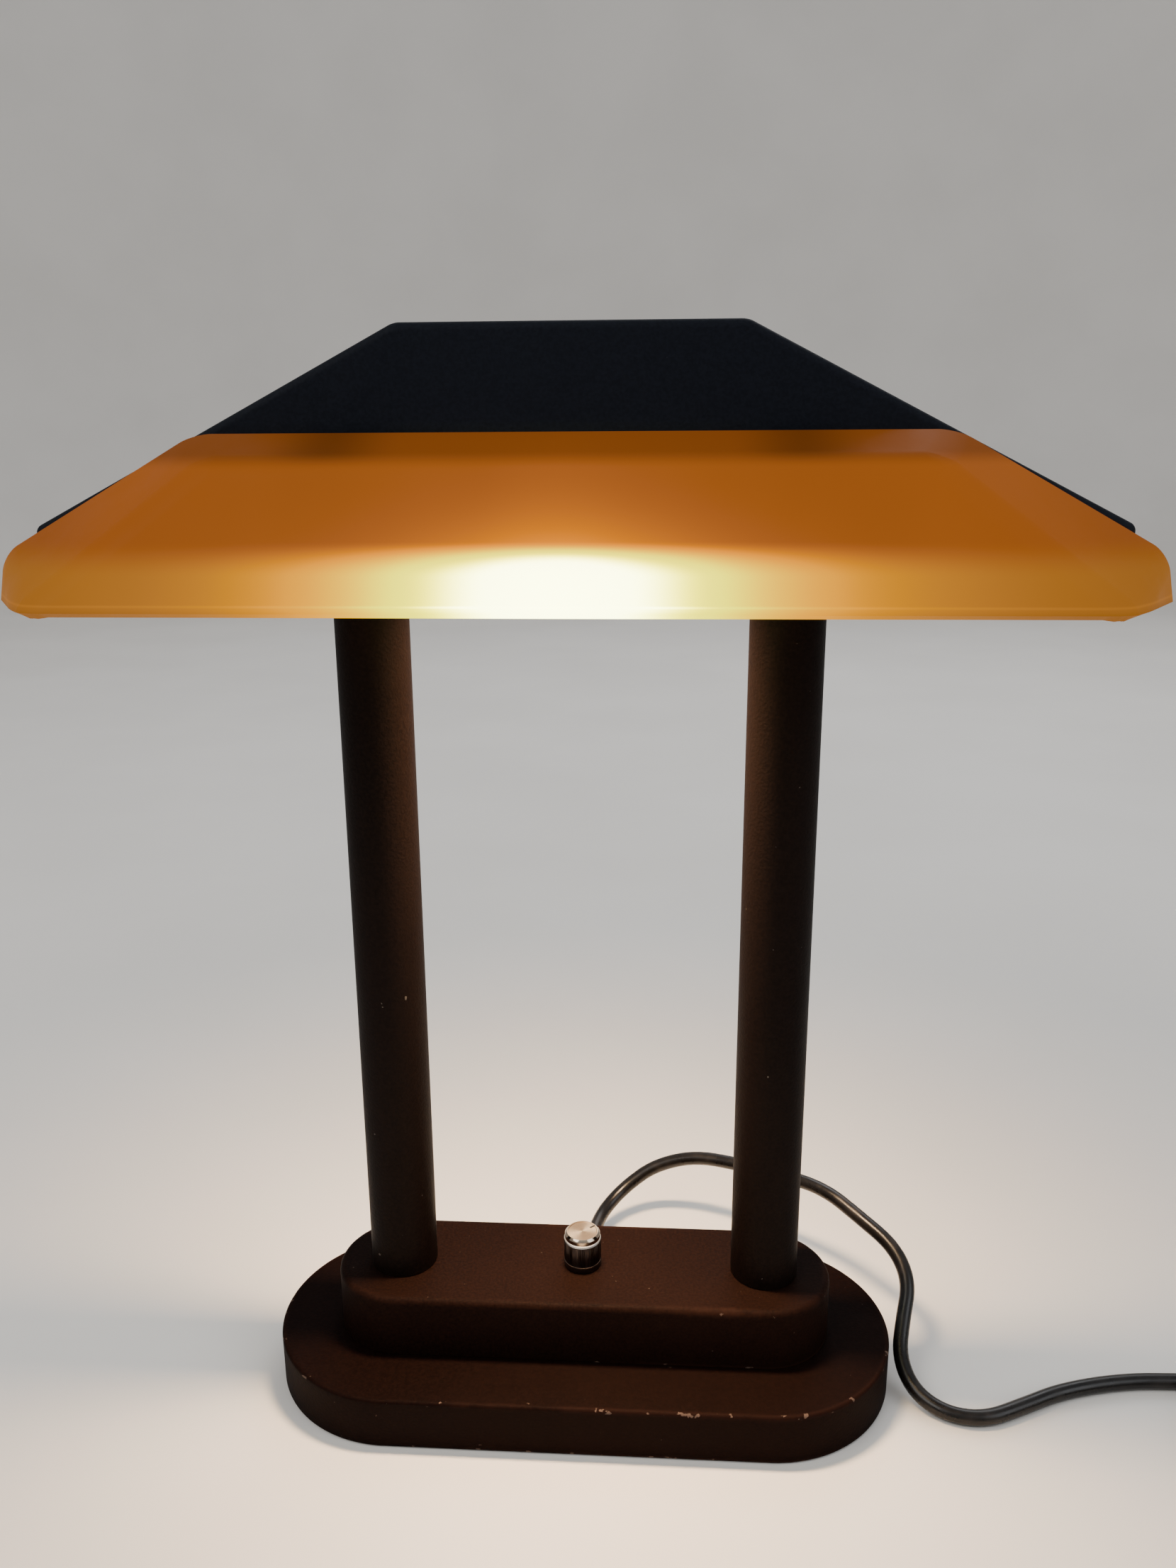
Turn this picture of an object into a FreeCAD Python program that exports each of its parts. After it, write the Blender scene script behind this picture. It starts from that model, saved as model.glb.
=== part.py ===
import FreeCAD, Part
import math
import os
from FreeCAD import Vector

# A mains desk lamp: two round posts rise from a two-step base with round ends and carry a pressed
# metal hood. A bent pane of frosted amber glass hangs in front of the hood and hides a short halogen
# lamp. A knob on the base turns a dimmer. Millimetres, +Z up, the lamp faces -Y. The origin is at the
# middle of the lamp's footprint box, on the table.

# Driving dimensions
post_spacing = 166.0
post_diameter = 30.0
post_wall = 1.5
post_y = 11.0               # the posts stand behind the middle of the whole lamp
post_top = 405.0

lower_margin = 43.0         # lower step beyond the posts' skin, all round
upper_margin = 15.0         # upper step beyond the posts' skin, all round
lower_height = 24.0
upper_height = 29.0
rim_gap = 0.6               # the felt holds the lower step's rim this far above the table
base_wall = 3.0
lower_top_wall = 4.0
upper_top_wall = 3.5

hood_ridge_half = 62.5
hood_ridge_z = 460.0
hood_eave_half = 201.7
hood_eave_z = 389.1
hood_bottom_z = 384.0
hood_half_depth = 32.5
hood_sheet = 1.2
hood_fold = 6.0             # outside radius of the pressed front and rear edges
hood_corner = 6.5

glass_thickness = 4.5
glass_back = 40.0           # open back of the glass, in front of the posts' plane
glass_front = 80.0          # foot of the front face, in front of the posts' plane
glass_bottom_z = 363.2
glass_top_z = 422.3

tie_radius = 5.0
tie_bore = 3.6
knob_radius = 8.5
knob_top_z = 70.3
knob_pointer_angle = 38.0   # from +X towards +Y

cord_radius = 3.5
gland_reach = 20.0
coil_centre = (324.0, -37.5)
coil_inner = 29.5
coil_outer = 50.5
coil_height = 14.1

base_top = lower_height + upper_height
half_spacing = post_spacing / 2
post_sides = (-half_spacing, half_spacing)

# The cord's route from the end of its strain relief to the coil
cord_route = [
    (0, 89, 12), (2, 101, 12), (7.5, 112.5, 15), (17.5, 122, 21), (33, 126.5, 31),
    (54, 122, 39.5), (78, 113, 45), (101, 96, 48), (118, 78, 48.5), (133.5, 62, 46),
    (147, 46, 40.5), (152.5, 30, 33.5), (149.5, 15, 25), (149.5, 2, 16.5), (155.5, -9, 10),
    (166, -16.5, 5.5), (179.5, -20, 3.6), (197, -17.5, 3.6), (220, -3.5, 3.7), (247, 3.5, 3.6),
    (276, 7.5, 3.7), (305, 9.5, 3.6),
]


def at(x, y, z):
    """A point given from the posts' plane, in the lamp's own frame."""
    return Vector(x, post_y + y, z)


def block(x0, x1, y0, y1, z0, z1):
    """A box between two corners; y is measured from the posts' plane."""
    return Part.makeBox(x1 - x0, y1 - y0, z1 - z0, at(x0, y0, z0))


def rod(radius, start, end):
    """A round bar between two points."""
    along = end - start
    return Part.makeCylinder(radius, along.Length, start, along)


def upright(radius, x, y, z0, z1):
    return rod(radius, at(x, y, z0), at(x, y, z1))


def ring(outer, inner, x, y, z0, z1):
    return upright(outer, x, y, z0, z1).cut(upright(inner, x, y, z0, z1))


def stadium(radius, z0, z1):
    """A slab with round ends centred on the two posts."""
    ends = [upright(radius, x, 0, z0, z1) for x in post_sides]
    middle = block(-half_spacing, half_spacing, -radius, radius, z0, z1)
    return ends[0].fuse([middle, ends[1]]).removeSplitter()


def edges_at_height(shape, z):
    return [e for e in shape.Edges if abs(e.BoundBox.ZMin - z) < 1e-6 and abs(e.BoundBox.ZMax - z) < 1e-6]


def hexagon(across_flats, hole, x, y, z0, z1):
    """A hexagonal nut standing on end."""
    corner = across_flats / math.sqrt(3)
    points = [
        at(x + corner * math.cos(math.radians(60 * k)), y + corner * math.sin(math.radians(60 * k)), z0)
        for k in range(7)
    ]
    body = Part.Face(Part.makePolygon(points)).extrude(Vector(0, 0, z1 - z0))
    return body.cut(upright(hole, x, y, z0, z1))


def screw(head_radius, head_height, shank_radius, length, seat, into):
    """A pan-head screw: seat is the point under its head, into the direction its shank runs."""
    into = Vector(into)
    into.normalize()
    head = Part.makeCylinder(head_radius, head_height, seat - into * head_height, into)
    head = head.makeFillet(head_height * 0.45, [head.Edges[0] if head.Edges[0].CenterOfMass.isEqual(
        seat - into * head_height, 1e-3) else head.Edges[2]])
    slot = Part.makeBox(head_radius * 2, 0.8, 0.9)
    slot.translate(Vector(-head_radius, -0.4, -0.01))
    slot.Placement = FreeCAD.Placement(seat - into * head_height, FreeCAD.Rotation(Vector(0, 0, 1), into)).multiply(
        slot.Placement)
    return head.cut(slot).fuse(Part.makeCylinder(shank_radius, length, seat, into)).removeSplitter()


def keep_below(shape, point, normal):
    """Cut away whatever lies past a plane, on the side its normal points to."""
    size = 1200.0
    normal = Vector(normal)
    normal.normalize()
    cutter = Part.makeBox(size, size, size, Vector(-size / 2, -size / 2, 0))
    cutter.Placement = FreeCAD.Placement(Vector(point), FreeCAD.Rotation(Vector(0, 0, 1), normal)).multiply(
        cutter.Placement)
    return shape.cut(cutter)


def tangent_path(points, radii=None):
    """Straight runs joined by tangent arcs, each as large as its two runs allow."""
    pts = [Vector(*p) for p in points]
    edges = []
    start = pts[0]
    for i in range(1, len(pts) - 1):
        back, ahead = pts[i - 1] - pts[i], pts[i + 1] - pts[i]
        shorter = min(back.Length, ahead.Length)
        back.normalize()
        ahead.normalize()
        turn = math.pi - back.getAngle(ahead)
        trim = 0.45 * shorter
        radius = trim / math.tan(turn / 2)
        if radii is not None:
            radii.append(radius)
        enter, leave = pts[i] + back * trim, pts[i] + ahead * trim
        inward = back + ahead
        inward.normalize()
        middle = pts[i] + inward * (radius / math.cos(turn / 2) - radius)
        edges.append(Part.LineSegment(start, enter).toShape())
        edges.append(Part.Arc(enter, middle, leave).toShape())
        start = leave
    edges.append(Part.LineSegment(start, pts[-1]).toShape())
    return Part.Wire(edges)


def cable(points, radius, radii=None):
    path = tangent_path(points, radii)
    section = Part.Wire(Part.makeCircle(radius, Vector(*points[0]), Vector(*points[1]) - Vector(*points[0])))
    tube = path.makePipeShell([section], True, False)
    return tube, path.Length


# Base

lower_radius = post_diameter / 2 + lower_margin
upper_radius = post_diameter / 2 + upper_margin
cover_z = 2.0               # underside of the cover plate, on top of the felt
cover_sheet = 1.2
ballast_z = cover_z + cover_sheet
ballast_radius = 42.0
nut_height = 5.0
washer_height = 1.5
nut_pocket_z = 14.0
cover_screw_places = [(x, y) for x in (-60, 60) for y in (-30, 30)]
cord_z = cord_route[0][2]


def lower_step():
    body = stadium(lower_radius, rim_gap, lower_height)
    body = body.makeFillet(1.6, edges_at_height(body, lower_height))
    body = body.makeFillet(0.8, edges_at_height(body, rim_gap))
    body = body.cut(stadium(lower_radius - base_wall, 0, lower_height - lower_top_wall))
    for x in post_sides:
        body = body.cut(upright(tie_radius + 0.3, x, 0, 0, lower_height))
    body = body.cut(block(-14, 14, -9, 9, 0, lower_height))
    return body.cut(rod(5.0, at(0, lower_radius - 10, cord_z), at(0, lower_radius + 10, cord_z)))


def upper_step():
    body = stadium(upper_radius, lower_height, base_top)
    body = body.makeFillet(3.0, edges_at_height(body, base_top))
    body = body.makeFillet(0.6, edges_at_height(body, lower_height))
    body = body.cut(stadium(upper_radius - base_wall, lower_height - 1, base_top - upper_top_wall))
    for x in post_sides:
        body = body.cut(upright(tie_radius + 0.3, x, 0, lower_height, base_top))
    return body.cut(upright(bush_radius + 0.2, 0, 0, lower_height, base_top))


def ballast():
    body = stadium(ballast_radius, ballast_z, lower_height - lower_top_wall)
    for x in post_sides:
        body = body.cut(upright(tie_radius + 0.3, x, 0, 0, lower_height))
        body = body.cut(upright(10, x, 0, 0, nut_pocket_z))
    for x, y in cover_screw_places:
        body = body.cut(upright(2.05, x, y, 0, 14))
    body = body.cut(block(-half_spacing, half_spacing, -4, 4, 0, 8))
    body = body.cut(block(-30, 30, -22, 22, 0, lower_height))
    return body.cut(block(-16, 16, 0, ballast_radius + 1, 0, lower_height))


def cover_plate():
    body = stadium(lower_radius - base_wall - 0.5, cover_z, cover_z + cover_sheet)
    for x, y in cover_screw_places:
        body = body.cut(upright(2.2, x, y, 0, 5))
    return body


def felt_pad():
    body = stadium(lower_radius - base_wall - 1.0, 0, cover_z)
    for x, y in cover_screw_places:
        body = body.cut(upright(5, x, y, -1, cover_z))
    return body


def cover_screws():
    return [screw(3.8, 1.6, 2.0, 10, at(x, y, cover_z), (0, 0, 1)) for x, y in cover_screw_places]


# Posts and the tubes that clamp the whole stack together

crossbar_z = post_top
crossbar_sheet = 2.0
tie_bottom = 7.2
tie_top = 418.0
spigot_height = 8.0


def post(x):
    return ring(post_diameter / 2, post_diameter / 2 - post_wall, x, 0, base_top, post_top)


def post_spigots():
    radius = post_diameter / 2 - post_wall - 0.1
    levels = (base_top, post_top - spigot_height)
    return [ring(radius, tie_radius + 0.3, x, 0, z, z + spigot_height) for x in post_sides for z in levels]


def tie_tubes():
    return [ring(tie_radius, tie_bore, x, 0, tie_bottom, tie_top) for x in post_sides]


def tie_washers():
    levels = (nut_pocket_z - washer_height, crossbar_z + crossbar_sheet)
    return [ring(9, tie_radius + 0.3, x, 0, z, z + washer_height) for x in post_sides for z in levels]


def tie_nuts():
    levels = (nut_pocket_z - washer_height - nut_height, crossbar_z + crossbar_sheet + washer_height)
    return [hexagon(14, tie_radius + 0.05, x, 0, z, z + nut_height) for x in post_sides for z in levels]


# Hood and its crossbar

crossbar_half = 104.0
crossbar_flange = 16.0
crossbar_half_depth = hood_half_depth - hood_sheet - 0.1
hood_screw_x = 74.0
hood_screw_z = 413.0
holder_x = 52.0
lead_hole_x = 66.0


def hood_outline(inset):
    """The hood seen from the front, its sheet's outside at 0 inset."""
    run, drop = hood_eave_half - hood_ridge_half, hood_ridge_z - hood_eave_z
    slope = math.atan2(drop, run)
    ridge_in = inset * math.tan(slope / 2)
    eave_in = inset * math.tan((math.pi / 2 - slope) / 2)
    right = [
        (hood_eave_half - inset, hood_bottom_z - inset),
        (hood_eave_half - inset, hood_eave_z - eave_in),
        (hood_ridge_half - ridge_in, hood_ridge_z - inset),
    ]
    return right + [(-x, z) for x, z in reversed(right)]


def hood_body(inset):
    depth = hood_half_depth - inset
    points = [at(x, -depth, z) for x, z in hood_outline(inset)]
    body = Part.Face(Part.makePolygon(points + points[:1])).extrude(Vector(0, 2 * depth, 0))
    bottom = body.BoundBox.ZMin
    corners = [
        e for e in body.Edges
        if e.BoundBox.YLength > depth and e.BoundBox.ZMin > bottom + 1
    ]
    body = body.makeFillet(hood_corner - inset, corners)
    rims = [
        e for e in body.Edges
        if e.BoundBox.YLength < 0.01 and e.BoundBox.ZMax > bottom + 1
    ]
    return body.makeFillet(hood_fold - inset, rims)


def hood():
    shell = hood_body(0).cut(hood_body(hood_sheet))
    for x in (-hood_screw_x, hood_screw_x):
        shell = shell.cut(rod(2.2, at(x, -40, hood_screw_z), at(x, 40, hood_screw_z)))
    return shell


def crossbar():
    depth, low, high = crossbar_half_depth, crossbar_z, crossbar_z + crossbar_flange
    body = block(-crossbar_half, crossbar_half, -depth, depth, low, high)
    body = body.cut(block(
        -crossbar_half - 1, crossbar_half + 1, crossbar_sheet - depth, depth - crossbar_sheet,
        low + crossbar_sheet, high + 1))
    for x in post_sides:
        body = body.cut(upright(tie_radius + 0.3, x, 0, low - 1, high))
    for x in (-holder_x, holder_x):
        body = body.cut(upright(1.7, x, 0, low - 1, high))
    for x in (-lead_hole_x, lead_hole_x):
        body = body.cut(upright(1.6, x, 0, low - 1, high))
    for x in (-hood_screw_x, hood_screw_x):
        body = body.cut(rod(2.05, at(x, -40, hood_screw_z), at(x, 40, hood_screw_z)))
    return body


def hood_screws():
    front = hood_half_depth + rail_sheet
    screws = [screw(3.6, 2.0, 2.0, 8, at(x, -front, hood_screw_z), (0, 1, 0)) for x in hood_screw_sides]
    rear = [screw(3.6, 2.0, 2.0, 8, at(x, hood_half_depth, hood_screw_z), (0, -1, 0)) for x in hood_screw_sides]
    return screws + rear


# Glass and what it hangs on

hood_screw_sides = (-hood_screw_x, hood_screw_x)
rail_sheet = 1.5
rail_floor_z = 398.0
rail_lip_y = 42.5
tongue_y = 39.6             # front face of the hanger's tongue
hanger_sheet = 1.5
glass_shoulder_y = 60.5
glass_shoulder_z = 412.4
glass_round = 12.0
bumper_place = (163.0, 398.0)


def glass_body(inset, back, bottom):
    """The pane's outside moved in by inset, running back to one plane and down to another."""
    lean = (glass_front - glass_shoulder_y, glass_shoulder_z - glass_bottom_z)
    front_normal = Vector(0, -lean[1], lean[0])
    top_slope = (glass_shoulder_y - glass_back, glass_top_z - glass_shoulder_z)
    top_normal = Vector(0, -top_slope[1], top_slope[0])
    # Lines of the open back edge, seen from the front, as (x, z)
    top_corner, slope_point, end_foot = (134.4, glass_top_z), (178.7, 397.6), (213.5, glass_bottom_z)
    flare = math.tan(math.radians(33))
    slope_normal = Vector(top_corner[1] - slope_point[1], 0, slope_point[0] - top_corner[0])
    slope_normal.normalize()
    slope_normal = slope_normal + Vector(0, -flare, 0)
    end_normal = Vector(1, -flare, 0.2)
    body = block(-300, 300, -glass_front - 40, -back, glass_bottom_z - 50, 500)
    for point, normal in (
        (at(0, -glass_front, glass_bottom_z), front_normal),
        (at(0, -glass_back, glass_top_z), top_normal),
        (at(top_corner[0], -glass_back, top_corner[1]), slope_normal),
        (at(end_foot[0], -glass_back, end_foot[1]), end_normal),
        (at(-top_corner[0], -glass_back, top_corner[1]), Vector(-slope_normal.x, slope_normal.y, slope_normal.z)),
        (at(-end_foot[0], -glass_back, end_foot[1]), Vector(-end_normal.x, end_normal.y, end_normal.z)),
    ):
        normal = Vector(normal)
        normal.normalize()
        body = keep_below(body, point - normal * inset, normal)
    folds = [
        e for e in body.Edges
        if e.BoundBox.YMin < post_y - back - 0.01 and e.BoundBox.ZMax > glass_bottom_z - 49
    ]
    return keep_below(body.makeFillet(glass_round - inset, folds), at(0, 0, bottom), (0, 0, -1))


def amber_glass():
    outside = glass_body(0, glass_back, glass_bottom_z)
    inside = glass_body(glass_thickness, glass_back - 6, glass_bottom_z - 6)
    return outside.cut(inside)


def glass_hangers():
    """Folded strips bonded inside the glass, with a tongue that drops into each rail."""
    hangers = []
    slope = (glass_top_z - glass_shoulder_z) / (glass_shoulder_y - glass_back)
    fall = math.hypot(1, slope) * glass_thickness
    back_z = glass_top_z - fall + slope * (glass_back - tongue_y + hanger_sheet)
    for x in hood_screw_sides:
        y0, y1 = -53.0, hanger_sheet - tongue_y
        z0 = back_z + slope * (y0 - y1)
        drop = hanger_sheet * math.hypot(1, slope)
        profile = [
            at(x - 10, y0, z0 - 0.05), at(x - 10, y1, back_z - 0.05), at(x - 10, y1, rail_floor_z + rail_sheet + 0.3),
            at(x - 10, -tongue_y, rail_floor_z + rail_sheet + 0.3),
            at(x - 10, -tongue_y, back_z - slope * hanger_sheet - drop), at(x - 10, y0, z0 - drop),
        ]
        hangers.append(Part.Face(Part.makePolygon(profile + profile[:1])).extrude(Vector(20, 0, 0)))
    return hangers


def glass_rails():
    """Pockets on the hood's face that the tongues drop into."""
    rails = []
    for x in hood_screw_sides:
        face = -hood_half_depth
        leg = block(x - 13, x + 13, face - rail_sheet, face, rail_floor_z, 418)
        floor = block(x - 13, x + 13, -rail_lip_y, face, rail_floor_z, rail_floor_z + rail_sheet)
        lip = block(x - 13, x + 13, -rail_lip_y, rail_sheet - rail_lip_y, rail_floor_z, 407)
        rail = leg.fuse([floor, lip]).removeSplitter()
        rails.append(rail.cut(rod(2.2, at(x, -40, hood_screw_z), at(x, 0, hood_screw_z))))
    return rails


def glass_bumpers():
    """Rubber studs on the hood that the glass's open back edge rests against."""
    x, z = bumper_place
    return [rod(3.5, at(s * x, -hood_half_depth, z), at(s * x, 0.4 - glass_back, z)) for s in (-1, 1)]


# Lamp and reflector

lamp_z = 391.0
reflector_sheet = 0.8
reflector_half = 64.0
reflector_low_z = 386.0


def reflector():
    top = crossbar_z
    outer = [(-15, top), (-26, reflector_low_z), (26, reflector_low_z), (15, top)]
    inner = [(-14.4, top - reflector_sheet), (-25.1, reflector_low_z - 1), (25.1, reflector_low_z - 1),
             (14.4, top - reflector_sheet)]
    faces = [
        Part.Face(Part.makePolygon([at(-reflector_half, y, z) for y, z in outline + outline[:1]]))
        for outline in (outer, inner)
    ]
    length = Vector(2 * reflector_half, 0, 0)
    body = faces[0].extrude(length).cut(faces[1].extrude(length))
    for x in (-holder_x, holder_x):
        body = body.cut(upright(1.7, x, 0, 380, top + 1))
    return body


def lampholder(side):
    low, high = lamp_z - 6.5, crossbar_z - reflector_sheet
    x0, x1 = sorted((side * 43, side * 62))
    body = block(x0, x1, -8, 8, low, high)
    body = body.cut(rod(4.2, at(side * 40, 0, lamp_z), at(side * 48, 0, lamp_z)))
    body = body.cut(rod(1.6, at(side * 48, 0, lamp_z), at(side * 58, 0, lamp_z)))
    return body.cut(upright(1.55, side * holder_x, 0, high - 7, high))


def holder_screws():
    seat = crossbar_z + crossbar_sheet
    return [screw(2.8, 1.8, 1.5, 9, at(x, 0, seat), (0, 0, -1)) for x in (-holder_x, holder_x)]


def lamp_contacts():
    """Sprung pins that press on the lamp's two ends."""
    pins = []
    for side in (-1, 1):
        pin = rod(1.5, at(side * 41, 0, lamp_z), at(side * 57, 0, lamp_z))
        pins.append(pin.fuse(rod(3, at(side * 40, 0, lamp_z), at(side * 43, 0, lamp_z))).removeSplitter())
    return pins


def lamp_tube():
    shell = rod(5.5, at(-29, 0, lamp_z), at(29, 0, lamp_z))
    shell = shell.makeFillet(2.5, [e for e in shell.Edges if e.BoundBox.XLength < 0.01])
    return shell.cut(rod(4.5, at(-26, 0, lamp_z), at(26, 0, lamp_z)))


def lamp_caps():
    return [rod(3.7, at(side * 29, 0, lamp_z), at(side * 40, 0, lamp_z)) for side in (-1, 1)]


def filament():
    return rod(1.1, at(-22, 0, lamp_z), at(22, 0, lamp_z))


# Dimmer and knob

bush_radius = 4.0
shaft_radius = 3.0
dimmer_top = 43.0
bush_top = 57.4
panel_top = base_top


def dimmer_body():
    body = block(-15, 15, -15, 15, 27, dimmer_top)
    return body.makeFillet(1.2, [e for e in body.Edges if e.BoundBox.ZLength > 10])


def dimmer_bush():
    return ring(bush_radius, shaft_radius + 0.05, 0, 0, dimmer_top, bush_top)


def dimmer_washer():
    return ring(6.6, bush_radius + 0.1, 0, 0, panel_top, panel_top + 0.6)


def dimmer_nut():
    return hexagon(11, bush_radius + 0.05, 0, 0, panel_top + 0.6, panel_top + 2.8)


def dimmer_shaft():
    shaft = upright(shaft_radius, 0, 0, dimmer_top + 0.3, 66)
    flat = block(-4, 4, 2.0, 4, bush_top + 1.0, 67)
    return shaft.cut(flat)


def knob_skirt():
    low, shoulder = base_top + 0.4, knob_top_z - 2.7
    body = upright(knob_radius, 0, 0, low, shoulder)
    body = body.makeFillet(0.4, edges_at_height(body, low))
    body = body.cut(upright(7.2, 0, 0, low, bush_top + 1.2))
    bore = upright(shaft_radius + 0.02, 0, 0, low, 66.2).cut(block(-4, 4, 2.02, 4, bush_top + 1.2, 67))
    body = body.cut(bore)
    return body.cut(rod(1.55, at(0, 0, 62), at(0, 10, 62)))


def knob_cap():
    body = upright(knob_radius - 0.5, 0, 0, knob_top_z - 2.7, knob_top_z)
    body = body.makeChamfer(0.7, edges_at_height(body, knob_top_z))
    return body.cut(knob_pointer())


def knob_pointer():
    """A short inlaid line near the cap's rim."""
    line = block(4.3, 7.0, -0.35, 0.35, knob_top_z - 0.3, knob_top_z)
    line.rotate(at(0, 0, 0), Vector(0, 0, 1), knob_pointer_angle)
    return line


def knob_grub_screw():
    return rod(1.5, at(0, 2.05, 62), at(0, 7.6, 62))


# Wiring

lead_radius = 1.1


def lamp_leads():
    """One lead up each tie tube, over its top and down to its end of the lamp."""
    leads = []
    for side in (-1, 1):
        x = side * half_spacing
        points = [
            at(side * 16.5, 0, 6.0), at(side * 60, 0, 4.8), at(x, 0, 4.9), at(x, 0, 14),
            at(x + side * 0.5, 0, 200), at(x, 0, 414), at(x - side * 2, 0, 424), at(x - side * 11, 0, 425),
            at(side * lead_hole_x, 0, 419), at(side * (lead_hole_x + 0.1), 0, 404),
            at(side * lead_hole_x, 0, 395.5), at(side * 62.1, 0, 395.5),
        ]
        leads.append(cable([tuple(p) for p in points], lead_radius)[0])
    return leads


def terminal_block():
    body = block(-16, 16, -18, -2, 4, 15)
    for x in (-10, 0, 10):
        body = body.cut(upright(2.2, x, -10, 11, 16))
    return body


def terminal_screws():
    return [screw(2.0, 1.4, 1.2, 2.5, at(x, -10, 13.6), (0, 0, -1)) for x in (-10, 0, 10)]


def dimmer_leads():
    leads = []
    for x in (-6, 6):
        points = [at(x, -1.5, 8), at(x, 5.5, 8.6), at(x, 6.1, 16), at(x, 6.1, 27)]
        leads.append(cable([tuple(p) for p in points], lead_radius)[0])
    return leads


# Cord, its strain relief and its plug

gland_wall = 5.0


def cord_gland():
    wall = lower_radius
    neck = rod(gland_wall - 0.05, at(0, wall - base_wall, cord_z), at(0, wall, cord_z))
    inner_flange = rod(7, at(0, wall - base_wall - 2, cord_z), at(0, wall - base_wall, cord_z))
    outer_flange = rod(7.5, at(0, wall, cord_z), at(0, wall + 2, cord_z))
    taper = Part.makeCone(6.2, 4.4, gland_reach - 2, at(0, wall + 2, cord_z), Vector(0, 1, 0))
    body = neck.fuse([inner_flange, outer_flange, taper]).removeSplitter()
    return body.cut(rod(cord_radius + 0.02, at(0, wall - 20, cord_z), at(0, wall + gland_reach + 1, cord_z)))


def cord_inside():
    """The cord's stripped end, from the strain relief to the terminal block."""
    return rod(cord_radius, at(0, 6, cord_z), at(0, lower_radius + gland_reach - 0.6, cord_z))


def cord_clamp():
    body = block(-12, 12, 26, 34, cord_z, cord_z + 7)
    return body.cut(rod(cord_radius + 0.02, at(0, 20, cord_z), at(0, 40, cord_z)))


def cord_clamp_seat():
    body = block(-12, 12, 26, 34, ballast_z, cord_z - 0.05)
    return body.cut(rod(cord_radius + 0.02, at(0, 20, cord_z), at(0, 40, cord_z)))


def cord_coil():
    x, y = coil_centre
    outer = Part.makeCylinder(coil_outer, coil_height, Vector(x, y, 0.1))
    return outer.cut(Part.makeCylinder(coil_inner, coil_height, Vector(x, y, 0.1)))


plug_x = coil_centre[0] + coil_outer - cord_radius
cord_tail_route = [(plug_x, -55, 10.6), (plug_x, -65, 12.2), (plug_x, -75, 16.2), (plug_x, -84, 17.6)]
plug_radius = 17.5
plug_neck_length = 24.0
plug_body_length = 33.0


def cord_tail():
    return cable(cord_tail_route, cord_radius)[0]


def along_plug(distance):
    x, y, z = cord_tail_route[-1]
    return Vector(x, y - distance, z)


def plug_body():
    neck = Part.makeCone(4.3, 6.2, plug_neck_length, along_plug(0), Vector(0, -1, 0))
    shoulder = Part.makeCone(6.2, plug_radius, 11, along_plug(plug_neck_length), Vector(0, -1, 0))
    drum = rod(plug_radius, along_plug(plug_neck_length + 11), along_plug(plug_neck_length + plug_body_length))
    drum = drum.makeFillet(1.5, [max(drum.Edges, key=lambda e: -e.CenterOfMass.y)])
    body = neck.fuse([shoulder, drum]).removeSplitter()
    face = plug_neck_length + plug_body_length
    for side in (-9.5, 9.5):
        offset = Vector(side, 0, 0)
        body = body.cut(rod(2.42, along_plug(face - 12) + offset, along_plug(face + 1) + offset))
    return body.cut(rod(3.0, along_plug(face - 14) + Vector(0, 0, 6), along_plug(face + 1) + Vector(0, 0, 6)))


def plug_pins():
    face = plug_neck_length + plug_body_length
    pins = []
    for side in (-9.5, 9.5):
        offset = Vector(side, 0, 0)
        pin = rod(2.4, along_plug(face - 12) + offset, along_plug(face + 19) + offset)
        tip = max(pin.Edges, key=lambda e: -e.CenterOfMass.y)
        pins.append(pin.makeFillet(1.4, [tip]))
    return pins


def check_cord(tube, path_length, radii):
    section = math.pi * cord_radius ** 2
    print("cord radii", [round(r, 1) for r in radii])
    print("cord volume / (section x length)", round(tube.Volume / (section * path_length), 4))
    print("cord length outside the coil", round(path_length, 1))


def build():
    radii = []
    cord, path_length = cable(cord_route, cord_radius, radii)
    check_cord(cord, path_length, radii)
    return {
        "lower_step": lower_step(),
        "upper_step": upper_step(),
        "ballast": ballast(),
        "cover_plate": cover_plate(),
        "felt_pad": felt_pad(),
        "cover_screws": cover_screws(),
        "left_post": post(-half_spacing),
        "right_post": post(half_spacing),
        "post_spigots": post_spigots(),
        "tie_tubes": tie_tubes(),
        "tie_washers": tie_washers(),
        "tie_nuts": tie_nuts(),
        "hood": hood(),
        "crossbar": crossbar(),
        "hood_screws": hood_screws(),
        "amber_glass": amber_glass(),
        "glass_hangers": glass_hangers(),
        "glass_rails": glass_rails(),
        "glass_bumpers": glass_bumpers(),
        "reflector": reflector(),
        "left_lampholder": lampholder(-1),
        "right_lampholder": lampholder(1),
        "holder_screws": holder_screws(),
        "lamp_contacts": lamp_contacts(),
        "lamp_tube": lamp_tube(),
        "lamp_caps": lamp_caps(),
        "filament": filament(),
        "dimmer_body": dimmer_body(),
        "dimmer_bush": dimmer_bush(),
        "dimmer_washer": dimmer_washer(),
        "dimmer_nut": dimmer_nut(),
        "dimmer_shaft": dimmer_shaft(),
        "knob_skirt": knob_skirt(),
        "knob_cap": knob_cap(),
        "knob_pointer": knob_pointer(),
        "knob_grub_screw": knob_grub_screw(),
        "lamp_leads": lamp_leads(),
        "terminal_block": terminal_block(),
        "terminal_screws": terminal_screws(),
        "dimmer_leads": dimmer_leads(),
        "cord_gland": cord_gland(),
        "cord_inside": cord_inside(),
        "cord_clamp": cord_clamp(),
        "cord_clamp_seat": cord_clamp_seat(),
        "cord": cord,
        "cord_coil": cord_coil(),
        "cord_tail": cord_tail(),
        "plug_body": plug_body(),
        "plug_pins": plug_pins(),
    }


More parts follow.
